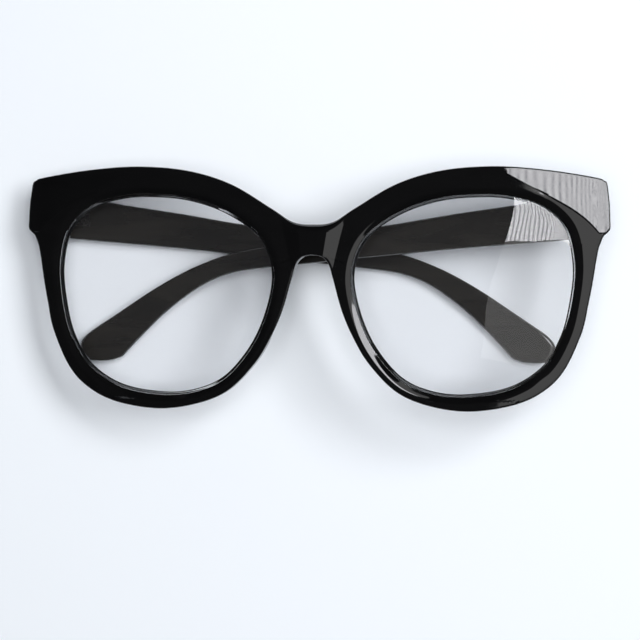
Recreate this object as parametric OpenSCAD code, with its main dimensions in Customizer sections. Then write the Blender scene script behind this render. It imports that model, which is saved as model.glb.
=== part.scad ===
// Cat eye eyeglasses lying folded on the outer face of one temple, front facing up.
// The front is drawn in its own frame: x across the face, y up from the lens centres and
// z towards the viewer, with z = 0 where the face crosses the line between the lens centres
// in the middle. Then the whole object is leaned about y and set down so that the lower
// temple lies flat on z = 0.

/* [Front] */
// Width of each lens opening
lens_w = 55.8; // [52:0.1:60]
// Height of each lens opening
lens_h = 50.8; // [46:0.1:54]
// Distance between the two lens openings across the nose
nose_gap = 19.2; // [18:0.1:22]
// How far each wing reaches out past its lens opening
wing_out = 8.6; // [8:0.1:11]
// Height of the brow above the lens openings
brow_h = 6.9; // [5:0.1:9]
// Thickness of the front
front_t = 4.4; // [4:0.1:5.5]
// Radius to which the front is curved around the face
face_r = 350; // [300:5:500]
// Radius to which the front is curved from the brow down
brow_r = 500; // [400:10:900]
// Radius of the rounded outer edges
edge_r = 0.6; // [0.3:0.05:0.9]

/* [Rims] */
// Width of the rim beside the temple
rim_side = 4.6; // [3.6:0.1:5]
// Width of the rim under the lens
rim_low = 3.4; // [2.8:0.1:5]
// Width of the slope that runs in to the lens
slope_w = 1.4; // [0.8:0.1:1.8]
// Depth of the slope that runs in to the lens
slope_d = 1.3; // [0.8:0.05:1.5]
// Width of the lens groove at its mouth
groove_w = 1.4; // [1.2:0.05:1.6]
// Depth of the lens groove
groove_d = 0.8; // [0.6:0.05:1]
// How far the lip behind the lens reaches further in than the lip before it
back_lip = 0.9; // [0:0.05:1.1]

/* [Bridge and wings] */
// Height of the middle of the bridge above the lens centres
bridge_y = 13.7; // [12:0.1:15]
// Height of the bridge itself
bridge_h = 7.8; // [6:0.1:10]
// Width of the raised panel on the bridge
panel_w = 6.5; // [5:0.1:8]
// Width across the panel and the two facets that run down from it
facet_w = 13.7; // [11:0.1:15]
// How far the panel stands up from the front's curve
panel_up = 0.5; // [0.2:0.05:0.8]
// How far the rims sink at the foot of the facets
rim_down = 0.4; // [0.1:0.05:0.6]
// Height of the wing's lower corner above the lens centres
wing_y = 16.6; // [16:0.1:18]
// Height of the wing's outer end
wing_h = 12.5; // [10:0.1:13]
// How far the notch under the wing is set in from the wing's end
wing_notch = 2.8; // [2:0.1:3.5]
// Step down from the wing's face to the rim along the crease
wing_step = 0.25; // [0.1:0.05:0.4]
// Angle at which the wing's face falls away above the crease
wing_tilt = 3.2; // [1:0.1:5]
// How far the moulded nose pads stand out behind the rims
pad_h = 3.4; // [2:0.1:5]
// How far the nose pads flare out towards the back
pad_flare = 1.6; // [0.8:0.1:2]

/* [Lenses] */
// Thickness of a lens
lens_t = 1.8; // [1.4:0.1:2.2]
// How far the middle of a lens bulges out of the front's curve
lens_bulge = 1.5; // [0.3:0.1:2]
// Play of the lens edge in its groove
lens_play = 0.25; // [0.15:0.05:0.3]

/* [Temples] */
// Reach of a temple from its hinge to the end of the tip
temple_l = 130; // [122:0.5:133]
// How far the tip hangs below the root
temple_drop = 38.4; // [34:0.2:42]
// Height of a temple at its root
root_h = 11.4; // [10:0.1:13]
// Width of a temple at its narrowest, in front of the ear
waist_h = 4.9; // [4:0.1:6]
// Width of a temple shortly before its end
tip_h = 10.4; // [8:0.1:11]
// Thickness of a temple at the hinge
temple_t = 3.6; // [3.2:0.1:4]
// Thickness of a temple at the tip
tip_t = 2.8; // [2.4:0.1:3.2]
// Angle past square to which the temples open
splay = 4; // [0:0.5:6]
// Play between the parts that lie on each other when folded
rest_gap = 0.4; // [0.3:0.05:0.8]

/* [Hinges] */
// Height of the hinges above the wings' lower corners
hinge_up = 4; // [3:0.1:5]
// Distance of the hinge pins from the outer ends of the front
pin_inset = 6.5; // [6.2:0.1:7]
// Distance of the pin from the front's back face and from the temple's inner face
pin_off = 2; // [1.9:0.05:2.4]
// Radius of the hinge knuckles
knuckle_r = 1.6; // [1.4:0.05:1.65]
// Height of the whole stack of knuckles
knuckle_h = 5; // [4:0.1:6]
// Radius of the hinge screw
screw_r = 0.6; // [0.5:0.05:0.7]
// Running play of the screw in the knuckles, and between the knuckles
play = 0.05; // [0.03:0.01:0.08]
// Height of the hinge plates
plate_h = 6; // [5:0.1:7]
// Thickness of the hinge plates
plate_t = 0.9; // [0.7:0.05:1.1]
// How far the hinge plates stand proud of the plastic
plate_out = 0.15; // [0.1:0.05:0.25]

/* [Hidden] */

round_fn = 48;
black = [0.02, 0.02, 0.022];
clear_lens = [0.86, 0.9, 0.92, 0.35];
steel = [0.66, 0.66, 0.68];

half_w = nose_gap / 2 + lens_w + wing_out;
lens_c = [(nose_gap + lens_w) / 2, 0];
saddle_top = bridge_y + bridge_h / 2;
saddle_low = bridge_y - bridge_h / 2;
brow_top = lens_h / 2 + brow_h;

// Flat land behind each wing that carries the hinge: its depth behind the front's back face
// in the middle, its width and its depth below the wing, and the run over which it fades out
land_deep = 6.6;
land_w = 13;
land_low = 2.6;
land_run = 9;
land_z = land_deep + front_t;

pin_x = half_w - pin_inset;
pin_z = -land_z - pin_off;
hinge_y = wing_y + hinge_up;
knuckle_gap = 2 * play;
middle_h = (knuckle_h - 2 * knuckle_gap) / 3;
outer_h = (knuckle_h - middle_h - 2 * knuckle_gap) / 2;

// Unit outline of the lens opening, from the temple side over the top to the nose
opening_shape = [[1, 0.3], [0.925, 0.66], [0.713, 0.885], [0.43, 0.98], [0.143, 1],
    [-0.215, 0.96], [-0.573, 0.823], [-0.871, 0.583], [-0.996, 0.26], [-0.964, -0.094],
    [-0.821, -0.488], [-0.573, -0.82], [-0.287, -0.968], [0.036, -1], [0.43, -0.921],
    [0.728, -0.709], [0.892, -0.409], [0.971, -0.075]];
// Brow line: share of the half width, then share of the rise from bridge to brow
brow_shape = [[0, 0], [0.068, 0.04], [0.143, 0.275], [0.28, 0.684], [0.432, 0.92],
    [0.608, 1], [0.784, 0.95], [0.946, 0.835]];
// Wing end: share of the notch's inset, then share of the wing's height
wing_shape = [[0.57, 1], [0.3, 0.945], [0.18, 0.78], [0.05, 0.5], [0, 0.16], [0.02, 0.02],
    [0.25, -0.055], [0.6, -0.13], [0.85, -0.26], [1.02, -0.37]];
// Unit outline of the rim's outer edge, from the wing round to the nose
rim_shape = [[1.018, 0.317], [0.991, 0.125], [0.957, -0.077], [0.908, -0.32],
    [0.778, -0.641], [0.615, -0.829], [0.385, -0.948], [0.046, -1.003], [-0.262, -0.955],
    [-0.508, -0.836], [-0.71, -0.606], [-0.83, -0.387], [-0.924, -0.146], [-0.992, 0.125]];
// Arch under the bridge: share of the nose gap, then drop as a share of the bridge's height
arch_shape = [[0.214, 0.3], [0.151, 0.095], [0.08, 0.02], [0, 0]];

// Curves through hand-set points

function curve(a, b, c, d, t) =
    0.5 * (2 * b + (c - a) * t + (2 * a - 5 * b + 4 * c - d) * t * t
    + (3 * b - a - 3 * c + d) * t * t * t);

function closed_curve(p, steps) = let (n = len(p))
    [for (i = [0 : n - 1], k = [0 : steps - 1])
        curve(p[(i + n - 1) % n], p[i], p[(i + 1) % n], p[(i + 2) % n], k / steps)];

// An open curve; the ghost points set the direction at its two ends
function open_curve(p, steps, before, after) = let (n = len(p), g = concat([before], p, [after]))
    concat([for (i = [1 : n - 1], k = [0 : steps - 1])
        curve(g[i - 1], g[i], g[i + 1], g[i + 2], k / steps)], [p[n - 1]]);

function flip(p) = [-p[0], p[1]];
function ease(t) = let (u = max(0, min(1, t))) u * u * (3 - 2 * u);

// Outlines of the front, drawn for the half with positive x

opening = closed_curve([for (p = opening_shape)
    lens_c + [p[0] * lens_w / 2, p[1] * lens_h / 2]], 4);

brow_points = [for (p = brow_shape)
    [p[0] * half_w, saddle_top + p[1] * (brow_top - saddle_top)]];
wing_points = [for (p = wing_shape) [half_w - p[0] * wing_notch, wing_y + p[1] * wing_h]];
rim_points = [for (p = rim_shape)
    lens_c + [p[0] * (lens_w / 2 + rim_side), p[1] * (lens_h / 2 + rim_low)]];
arch_points = [for (p = arch_shape) [p[0] * nose_gap, saddle_low - p[1] * bridge_h]];
edge_points = concat(brow_points, wing_points, rim_points, arch_points);
last_edge = len(edge_points) - 1;
outer_edge = open_curve(edge_points, 2, flip(edge_points[1]), flip(edge_points[last_edge - 1]));
n_edge = len(outer_edge);
// Steps up the cut through the bridge, where the two halves of the front meet
seam_steps = 4;
seam = [for (k = [1 : seam_steps - 1]) [0, saddle_low + bridge_h * k / seam_steps]];
boundary = concat(outer_edge, seam);
n_round = len(boundary);

function on_seam(i) = i >= n_edge;
function seam_side(i) = i % n_round == 0 || i % n_round >= n_edge - 1;

// Inward normal of the outer edge at point i
function inward(i) =
    on_seam(i) ? [0, 0] :
    i == 0 ? [0, -1] :
    i == n_edge - 1 ? [0, 1] :
    let (d = outer_edge[i + 1] - outer_edge[i - 1], l = norm(d)) [d[1], -d[0]] / l;

// Where the ray from the lens centre towards p crosses the lens opening
function opening_towards(p) = let (d = p - lens_c, n = len(opening))
    [for (k = [0 : n - 1])
        let (a = opening[k] - lens_c, b = opening[(k + 1) % n] - lens_c,
            ca = cross(d, a), cb = cross(d, b))
        if (ca <= 0 && cb > 0 && d * (a + b) > 0) lens_c + a + (b - a) * (-ca / (cb - ca))][0];

// Half widths of the bridge's panel and of its facets at height y; both widen upwards by a
// share of the rise
panel_flare = 0.15;
facet_flare = 0.24;
function panel_edge(y) = panel_w / 2 + panel_flare * (y - bridge_y);
function facet_edge(y) = facet_w / 2 + facet_flare * (y - bridge_y);

// Crease between the rim and the wing, from above the lens to the notch under the wing: its
// start as shares of the lens opening's half sizes, and the share of its drop that bends down
// towards the end
crease_start = [0.69, 1.027];
crease_bend = 0.26;
crease_a = lens_c + [crease_start[0] * lens_w / 2, crease_start[1] * lens_h / 2];
crease_b = [half_w - wing_notch, wing_y - 0.05 * wing_h];
function crease_y(x) = let (u = (x - crease_a[0]) / (crease_b[0] - crease_a[0]),
        v = max(0, min(1, u)))
    crease_a[1] - (crease_a[1] - crease_b[1])
    * ((1 - crease_bend) * min(1, u) + crease_bend * pow(v, 4));
// The crease grows in over a share of its length, half of it before the start
crease_grow = 0.25;
function crease_share(x) =
    ease((x - crease_a[0]) / (crease_grow * (crease_b[0] - crease_a[0])) + 0.5);

// Height of the curved front, of its face with panel, facets and crease, of its back face and
// of the middle of the lens groove

function base_z(p) = -p[0] * p[0] / (2 * face_r) - p[1] * p[1] / (2 * brow_r);
function bridge_z(p) = let (a = panel_edge(p[1]), b = facet_edge(p[1]),
        t = max(0, min(1, (p[0] - a) / (b - a))))
    panel_up * (1 - t) - rim_down * t * (1 - ease((p[0] - b) / nose_gap));
function wing_z(p) = let (d = p[1] - crease_y(p[0]))
    d > 0 ? -d * tan(wing_tilt) : -wing_step * crease_share(p[0]) * ease(-d / wing_step);
function face_z(p) = base_z(p) + bridge_z(p) + wing_z(p);
function land(p) = ease((p[0] - half_w + land_w) / land_run + 1)
    * ease((p[1] - wing_y + land_low) / land_run + 1);
function back_z(p) = (1 - land(p)) * (base_z(p) - front_t) - land(p) * land_z;
// Thickness of the lip that holds the lens from in front
lip_t = 0.3;
function groove_z(p) = base_z(p) - slope_d - lip_t - groove_w / 2;
// Chamfer of the lip behind the lens, and its depth below the groove, clear of the lens
lip_edge = 0.3;
lip_drop = lens_t / 2 + 0.4;
// The slope to the lens is wider towards the wing, as seen in direction d from the lens centre
slope_more = 0.35;
wing_way = [0.6, 0.8];
function slope_run(d) = slope_w * (1 + slope_more * pow(max(0, d * wing_way), 6));

// Moulded nose pads: a smooth swelling of the back edge on the nose side of the rim
pad_y = -3.5;
pad_half = 9;
function pad(p) = p[0] > lens_c[0] * 0.5 ? 0 :
    pow(max(0, 1 - pow((p[1] - pad_y) / pad_half, 2)), 2);

function lift(p, z) = [p[0], p[1], z];

// Lines on the face that the rays from the lens edge s to the outer edge e may cross
PANEL = 0;
FACET = 1;
CREASE = 2;
function past(p, line) = line == CREASE ? p[1] - crease_y(p[0]) :
    (line == PANEL ? panel_edge(p[1]) : facet_edge(p[1])) - p[0];
function crosses(s, e, line) = past(s, line) < 0 && past(e, line) > 0;
// Share of the way from s to e at which the line is crossed, halving the span n times
function meet(s, e, line, low = 0, high = 1, n = 12) = let (t = (low + high) / 2)
    n == 0 ? t : past(s + (e - s) * t, line) > 0 ? meet(s, e, line, low, t, n - 1) :
    meet(s, e, line, t, high, n - 1);
// Shares of the way from s to e of the two points on the face: on the lines, or evenly spaced
function face_shares(s, e) =
    crosses(s, e, FACET) ? let (t = meet(s, e, FACET))
        [t, crosses(s, e, PANEL) ? meet(s, e, PANEL) : (1 + t) / 2] :
    crosses(s, e, CREASE) ? let (t = meet(s, e, CREASE)) [max(t / 2, t - wing_step / norm(e - s)), t] :
    [1 / 3, 2 / 3];

// Closed section of the rim at boundary point i, from the lens edge outwards and back
function section(i) =
    let (o = boundary[i], n = inward(i), a = opening_towards(o), d = (o - a) / norm(o - a),
        s = a + d * slope_run(d), e = o + n * edge_r, c = a - d * back_lip, b = c + d * edge_r,
        f = n * pad_flare * pad(o), t = face_shares(s, e), low = -pad_h * pad(o))
    [lift(a, base_z(a) - slope_d), lift(s, face_z(s)),
     for (k = t) let (m = s + (e - s) * k) lift(m, face_z(m)),
     lift(e, face_z(e)),
     lift(o + n * edge_r * 0.3, face_z(o) - edge_r * 0.3), lift(o, face_z(o) - edge_r),
     lift(o + f, back_z(o) + edge_r + low), lift(e + f, back_z(e) + low),
     lift(b, back_z(b)), lift(c, back_z(c) + lip_edge), lift(c, groove_z(a) - lip_drop),
     lift(a, groove_z(a) - groove_w / 2), lift(a + d * groove_d, groove_z(a)),
     lift(a, groove_z(a) + groove_w / 2)];

sections = [for (i = [0 : n_round - 1]) section(i)];
n_ring = len(sections[0]);
// The part of the section that lies in the cut through the bridge has no wall
seam_wall = [4, 7];

function at(i, k) = (i % n_round) * n_ring + k % n_ring;
half_faces = [for (i = [0 : n_round - 1], k = [0 : n_ring - 1])
    if (!(seam_side(i) && seam_side(i + 1) && k >= seam_wall[0] && k <= seam_wall[1]))
    each [[at(i, k), at(i + 1, k), at(i + 1, k + 1)], [at(i, k), at(i + 1, k + 1), at(i, k + 1)]]];
half_points = [for (s = sections) each s];

module front_shell() {
    n = len(half_points);
    other_points = [for (p = half_points) [-p[0], p[1], p[2]]];
    other_faces = [for (f = half_faces) [n + f[2], n + f[1], n + f[0]]];
    polyhedron(concat(half_points, other_points), concat(half_faces, other_faces), convexity = 8);
}

// Lens: a dome inside the opening with an edge that is ground to fit the groove

lens_edge = 0.5;
dome_rings = [0.75, 0.42];
function lens_ring(scale, inset, side) = [for (p = opening)
    let (d = (p - lens_c) / norm(p - lens_c), q = lens_c + (p - d * inset - lens_c) * scale)
    lift(q, groove_z(q) + side * lens_t / 2 + abs(side) * lens_bulge * (1 - scale * scale))];

module lens_solid() {
    n = len(opening);
    rings = concat([lens_ring(dome_rings[1], lens_edge, 1), lens_ring(dome_rings[0], lens_edge, 1),
        lens_ring(1, lens_edge, 1), lens_ring(1, lens_play - groove_d, 0),
        lens_ring(1, lens_edge, -1), lens_ring(dome_rings[0], lens_edge, -1),
        lens_ring(dome_rings[1], lens_edge, -1)]);
    last = len(rings) - 1;
    top = lift(lens_c, groove_z(lens_c) + lens_t / 2 + lens_bulge);
    low = lift(lens_c, groove_z(lens_c) - lens_t / 2 + lens_bulge);
    points = concat([for (r = rings) each r], [top, low]);
    walls = [for (r = [0 : last - 1], i = [0 : n - 1])
        let (j = (i + 1) % n)
        each [[r * n + i, (r + 1) * n + i, (r + 1) * n + j], [r * n + i, (r + 1) * n + j, r * n + j]]];
    top_fan = [for (i = [0 : n - 1]) [len(points) - 2, i, (i + 1) % n]];
    low_fan = [for (i = [0 : n - 1]) [len(points) - 1, last * n + (i + 1) % n, last * n + i]];
    polyhedron(points, concat(top_fan, walls, low_fan), convexity = 4);
}

// Temple: drawn folded flat behind the front, for the hinge with positive x. The pin is the
// origin, the temple runs towards negative x, y is the height above the hinge's middle, and
// z points to the front, so that the flat outer face looks to negative z.

// Station of the middle line: share of the reach and of the drop, then how much of the root's
// and of the tip's extra width it has over the waist, and the angle by which its section is
// turned from square, which cuts the blunt end off at a slant
temple_shape = [[0.108, 0.053, 0.8, 0, 0], [0.242, 0.105, 0.62, 0, 0], [0.377, 0.167, 0.43, 0, 0],
    [0.5, 0.224, 0.25, 0, 0], [0.608, 0.276, 0.09, 0, 0], [0.685, 0.318, 0, 0, 0],
    [0.742, 0.385, 0, 0, 0], [0.792, 0.477, 0, 0.15, 0], [0.846, 0.602, 0, 0.37, 0],
    [0.9, 0.753, 0, 0.69, 0], [0.933, 0.841, 0, 0.98, -17], [0.955, 0.904, 0, 1.27, -17],
    [0.96, 0.952, 0, 0.62, 6], [0.961, 0.979, 0, -0.24, 0]];
// Station that passes under the middle of the bridge
mid_station = 3;
// Length over which the sections turn from square at the hinge to square across the line
square_l = 30;
// Length at the hinge over which the temple keeps its full thickness
full_l = 18;
// Gap left between the temple's end and the front when fully open
end_gap = 0.1;
temple_edge = 0.6;

temple_stations = concat([[-pin_off, 0, root_h, 0]], [for (p = temple_shape)
    [p[0] * temple_l, -p[1] * temple_drop,
     waist_h + p[2] * (root_h - waist_h) + p[3] * (tip_h - waist_h), p[4]]]);
temple_line = open_curve(temple_stations, 2, [-pin_off - square_l * 0.4, temple_drop * 0.05, root_h, 0],
    2 * temple_stations[len(temple_stations) - 1] - temple_stations[len(temple_stations) - 2]);
n_line = len(temple_line);

function thick(s) = temple_t + (tip_t - temple_t) * max(0, s - full_l) / (temple_l - full_l);
// Place of the temple's end at depth w, cut so that it meets the front when fully open
function root_x(w) = (pin_off - end_gap - w * sin(splay)) / cos(splay);

function temple_section(i) =
    let (p = temple_line[i], q = temple_line[min(i + 1, n_line - 1)] - temple_line[max(i - 1, 0)],
        turn = atan2(q[1], q[0]) * ease(p[0] / square_l) + p[3], u = [-sin(turn), cos(turn)],
        h = p[2] / 2, e = min(temple_edge, h / 2), outer = pin_off + temple_t,
        inner = outer - thick(p[0]))
    [for (c = [[e - h, outer], [h - e, outer], [h, outer - e], [h, inner + e], [h - e, inner],
        [e - h, inner], [-h, inner + e], [-h, outer - e]])
        let (s = i == 0 ? -root_x(c[1]) : p[0] + u[0] * c[0])
        [-s, p[1] + u[1] * c[0], -c[1]]];

module temple_blank() {
    rings = [for (i = [0 : n_line - 1]) temple_section(i)];
    m = len(rings[0]);
    walls = [for (i = [0 : n_line - 2], k = [0 : m - 1])
        let (a = i * m + k, b = i * m + (k + 1) % m)
        each [[a, a + m, b + m], [a, b + m, b]]];
    root_cap = [for (k = [1 : m - 2]) [0, k, k + 1]];
    tip_cap = [for (k = [1 : m - 2]) [(n_line - 1) * m, (n_line - 1) * m + k + 1, (n_line - 1) * m + k]];
    polyhedron([for (r = rings) each r], concat(walls, root_cap, tip_cap), convexity = 6);
}

// Hinge plates, drawn about the pin as the origin

// Gap between the front's plate and the opened temple
plate_gap = 0.3;
front_plate_x = [-4.2, pin_off - plate_gap];
temple_plate_x = [-8.5, 0.8];
knuckle_block = 1.6 * knuckle_r;

module plate(span, grow) {
    translate([span[0] - grow, -plate_h / 2 - grow, -plate_out])
        cube([span[1] - span[0] + 2 * grow, plate_h + 2 * grow, plate_t + grow]);
}

// A knuckle of height h with its block up to the plate, standing at height y
module knuckle(y, h) {
    translate([0, y, 0]) {
        rotate([-90, 0, 0]) cylinder(h = h, r = knuckle_r, $fn = round_fn);
        translate([-knuckle_block / 2, 0, 0]) cube([knuckle_block, h, pin_off]);
    }
}

module pin_bore() {
    translate([0, -knuckle_h, 0]) rotate([-90, 0, 0])
        cylinder(h = 2 * knuckle_h, r = screw_r + play, $fn = round_fn);
}

module front_hinge() {
    difference() {
        union() {
            translate([0, 0, pin_off]) plate(front_plate_x, 0);
            knuckle(-knuckle_h / 2, outer_h);
            knuckle(knuckle_h / 2 - outer_h, outer_h);
        }
        pin_bore();
    }
}

module temple_hinge() {
    difference() {
        union() {
            translate([0, 0, -pin_off]) mirror([0, 0, 1]) plate(temple_plate_x, 0);
            mirror([0, 0, 1]) knuckle(-middle_h / 2, middle_h);
        }
        pin_bore();
    }
}

head_r = 1.25;
head_h = 0.6;
slot_w = 0.3;

module screw() {
    difference() {
        translate([0, -knuckle_h / 2, 0]) rotate([-90, 0, 0]) {
            cylinder(h = knuckle_h + head_h, r = screw_r, $fn = round_fn);
            translate([0, 0, knuckle_h + play / 2]) cylinder(h = head_h, r = head_r, $fn = round_fn);
        }
        translate([-head_r * 2, knuckle_h / 2 + head_h / 2, -slot_w / 2])
            cube([head_r * 4, head_h, slot_w]);
    }
}

// Play round a plate in its pocket
pocket_play = 0.03;

module temple_solid() {
    difference() {
        temple_blank();
        translate([0, 0, -pin_off]) mirror([0, 0, 1]) plate(temple_plate_x, pocket_play);
    }
}

// How the folded glasses lie: the right temple flat on the ground, the left one on top of it

// Share of its reach at which the upper temple bends away from above the lower one
bend_share = 0.71;
// The same place, measured from the pin of the lower temple
cross_at = 2 * pin_x - bend_share * temple_l;
lean = asin((temple_t + rest_gap) / cross_at);
// Slope of the left temple, which ends just above the ground
left_slope = min(lean, asin((2 * pin_x * sin(lean) - rest_gap) / temple_l));
stack = pin_off + temple_t;
set_z = stack + pin_x * sin(lean) - pin_z * cos(lean);
// Middle of the right temple where it passes under the bridge
set_y = hinge_y - temple_shape[mid_station][1] * temple_drop;

module set_down() {
    translate([0, -set_y, set_z]) rotate([0, -lean, 0]) children();
}

// The wearer's left is the viewer's right, at positive x
module left_side() { set_down() children(); }
module right_side() { set_down() mirror([1, 0, 0]) children(); }

// At a hinge's pin, and folded by an angle down from flat behind the front
module at_pin(fold) {
    translate([pin_x, hinge_y, pin_z]) rotate([0, -fold, 0]) children();
}

left_fold = left_slope - lean;
right_fold = lean;

module front_frame() {
    color(black) set_down() difference() {
        front_shell();
        for (side = [0, 1]) mirror([side, 0, 0])
            at_pin(0) translate([0, 0, pin_off]) plate(front_plate_x, pocket_play);
    }
}

module left_lens() { color(clear_lens) left_side() lens_solid(); }
module right_lens() { color(clear_lens) right_side() lens_solid(); }
module left_temple() { color(black) left_side() at_pin(left_fold) temple_solid(); }
module right_temple() { color(black) right_side() at_pin(right_fold) temple_solid(); }
module left_front_hinge() { color(steel) left_side() at_pin(0) front_hinge(); }
module right_front_hinge() { color(steel) right_side() at_pin(0) front_hinge(); }
module left_temple_hinge() { color(steel) left_side() at_pin(left_fold) temple_hinge(); }
module right_temple_hinge() { color(steel) right_side() at_pin(right_fold) temple_hinge(); }
module left_screw() { color(steel) left_side() at_pin(0) screw(); }
module right_screw() { color(steel) right_side() at_pin(0) screw(); }

front_frame();
left_lens();
right_lens();
left_temple();
right_temple();
left_front_hinge();
right_front_hinge();
left_temple_hinge();
right_temple_hinge();
left_screw();
right_screw();
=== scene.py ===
"""Looks of the cat eye eyeglasses, folded and lying front up on one temple.

The front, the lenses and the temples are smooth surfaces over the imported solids; the hinges and
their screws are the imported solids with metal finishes. Sizes are in millimetres, in the frame
that each class names, and become metres where a mesh is written.
"""

import logging
import math
from dataclasses import dataclass
from enum import Enum

import bmesh
import bpy
import numpy as np
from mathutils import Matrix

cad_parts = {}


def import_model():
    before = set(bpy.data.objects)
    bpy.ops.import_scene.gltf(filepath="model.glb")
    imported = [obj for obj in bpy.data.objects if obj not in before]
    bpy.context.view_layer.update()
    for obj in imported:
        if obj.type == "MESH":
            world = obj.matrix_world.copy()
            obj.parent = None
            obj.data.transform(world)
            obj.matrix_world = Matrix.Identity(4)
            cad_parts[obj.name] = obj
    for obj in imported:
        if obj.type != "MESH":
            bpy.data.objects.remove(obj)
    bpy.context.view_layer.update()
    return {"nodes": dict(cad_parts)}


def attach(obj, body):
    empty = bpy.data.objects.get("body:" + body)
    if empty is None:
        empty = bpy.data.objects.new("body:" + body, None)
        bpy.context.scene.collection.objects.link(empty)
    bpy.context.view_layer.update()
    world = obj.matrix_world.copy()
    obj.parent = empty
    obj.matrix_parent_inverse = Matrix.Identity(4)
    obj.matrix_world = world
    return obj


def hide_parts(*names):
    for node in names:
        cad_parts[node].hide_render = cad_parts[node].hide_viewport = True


MM = 0.001
SMOOTH_ANGLE = math.radians(38)
WELD_M = 1e-7
# Length over which a wave texture of scale 1 repeats its bands, about pi / 10.
WAVE_RUN = 0.314

log = logging.getLogger("eyeglasses")


class Side(Enum):
    """Side of the wearer; the value is the sign of x in the front's frame."""

    LEFT = 1
    RIGHT = -1

    @property
    def word(self) -> str:
        """Word that the names of the pieces start with."""
        return self.name.lower()


# Curves and surfaces


def ease(t: np.ndarray) -> np.ndarray:
    """Smooth step: 3t² - 2t³ with t held between 0 and 1."""
    u = np.clip(t, 0.0, 1.0)
    return u * u * (3 - 2 * u)


def unit(v: np.ndarray) -> np.ndarray:
    """Vectors divided by their lengths along the last axis."""
    return v / np.linalg.norm(v, axis=-1, keepdims=True)


def tilt(p: np.ndarray, sine: float) -> np.ndarray:
    """Points turned about y: x to x cos - z sin, z to x sin + z cos."""
    x, y, z = np.moveaxis(p, -1, 0)
    cosine = math.sqrt(1 - sine**2)
    return np.stack([x * cosine - z * sine, y, x * sine + z * cosine], axis=-1)


def gathered(count: int) -> np.ndarray:
    """Shares (1 - cos(pi k / n)) / 2 for k below n: they crowd towards 0 and 1."""
    return (1 - np.cos(np.pi * np.arange(count) / count)) / 2


def curve(ghosted: np.ndarray, steps: int) -> np.ndarray:
    """Catmull-Rom curve through points that have one ghost point before and one after.

    Between points b and c, with neighbours a and d, the place at t is half of
    2b + (c - a)t + (2a - 5b + 4c - d)t² + (3b - a - 3c + d)t³.

    Args:
        ghosted: Points with the two ghosts, one row each.
        steps: Places worked out for each stretch between two points.

    Returns:
        The curve's places, without the last point.
    """
    a, b, c, d = (ghosted[k:len(ghosted) - 3 + k, None] for k in range(4))
    t = (np.arange(steps) / steps)[None, :, None]
    places = 0.5 * (2 * b + (c - a) * t + (2 * a - 5 * b + 4 * c - d) * t**2
                    + (3 * b - a - 3 * c + d) * t**3)
    return places.reshape(-1, ghosted.shape[1])


def closed_curve(points: np.ndarray, steps: int) -> np.ndarray:
    """Closed Catmull-Rom curve through the points."""
    return curve(np.vstack([points[-1:], points, points[:2]]), steps)


def open_curve(points: np.ndarray, steps: int, before: np.ndarray, after: np.ndarray) -> np.ndarray:
    """Catmull-Rom curve through the points, up to and with the last; ghosts set its two ends."""
    return np.vstack([curve(np.vstack([[before], points, [after]]), steps), points[-1:]])


def grid_faces(rows: int, columns: int, close_rows: bool, close_columns: bool) -> np.ndarray:
    """Quads of a grid whose point (i, k) has the number i * columns + k.

    Args:
        rows: Number of rows of points.
        columns: Number of points in a row.
        close_rows: Whether the last row joins the first.
        close_columns: Whether each row's last point joins its first.

    Returns:
        One row of four point numbers for each quad, row by row.
    """
    i = np.arange(rows if close_rows else rows - 1)[:, None]
    k = np.arange(columns if close_columns else columns - 1)[None, :]
    i2, k2 = (i + 1) % rows, (k + 1) % columns
    quads = [i * columns + k, i2 * columns + k, i2 * columns + k2, i * columns + k2]
    return np.stack(np.broadcast_arrays(*quads), axis=-1).reshape(-1, 4)


def arc(before: np.ndarray, corner: np.ndarray, after: np.ndarray, steps: int) -> np.ndarray:
    """Rounded corner: the parabola from before to after that points at the corner.

    Its place at t is (1 - t)² before + 2t(1 - t) corner + t² after.

    Args:
        before: Start of the rounding, for every section.
        corner: Sharp corner, for every section.
        after: End of the rounding, for every section.
        steps: Number of stretches.

    Returns:
        Points of the rounding, with both ends, along the second axis.
    """
    t = np.linspace(0, 1, steps + 1)[None, :, None]
    return ((1 - t)**2 * before[:, None] + 2 * t * (1 - t) * corner[:, None]
            + t**2 * after[:, None])


def add_mesh(name: str, points: np.ndarray, quads: np.ndarray, inside_out: bool = False,
             slots: np.ndarray | None = None) -> bpy.types.Object:
    """Writes points and quads to a new object at the origin and closes its seams and poles.

    Args:
        name: Name of the piece.
        points: Places in millimetres, in the row's frame.
        quads: Point numbers of each quad.
        inside_out: Whether the quads have to be turned to face outwards.
        slots: Material slot number of each quad, or None for the first slot.

    Returns:
        The object, linked to the scene and shaded smooth with its true edges sharp.
    """
    mesh = bpy.data.meshes.new(name)
    faces = quads[:, ::-1] if inside_out else quads
    mesh.vertices.add(len(points))
    mesh.vertices.foreach_set("co", (points * MM).astype(np.float32).ravel())
    mesh.loops.add(faces.size)
    mesh.loops.foreach_set("vertex_index", faces.astype(np.int32).ravel())
    mesh.polygons.add(len(faces))
    mesh.polygons.foreach_set("loop_start", np.arange(0, faces.size, 4, dtype=np.int32))
    if slots is not None:
        mesh.polygons.foreach_set("material_index", slots.astype(np.int32))
    mesh.update(calc_edges=True)
    shell = bmesh.new()
    shell.from_mesh(mesh)
    bmesh.ops.remove_doubles(shell, verts=shell.verts, dist=WELD_M)
    loose = [v for v in shell.verts if not v.link_faces]
    bmesh.ops.delete(shell, geom=loose, context="VERTS")
    shell.to_mesh(mesh)
    shell.free()
    mesh.shade_smooth()
    mesh.set_sharp_from_angle(angle=SMOOTH_ANGLE)
    piece = bpy.data.objects.new(name, mesh)
    bpy.context.scene.collection.objects.link(piece)
    return piece


# The form of the glasses


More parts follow.
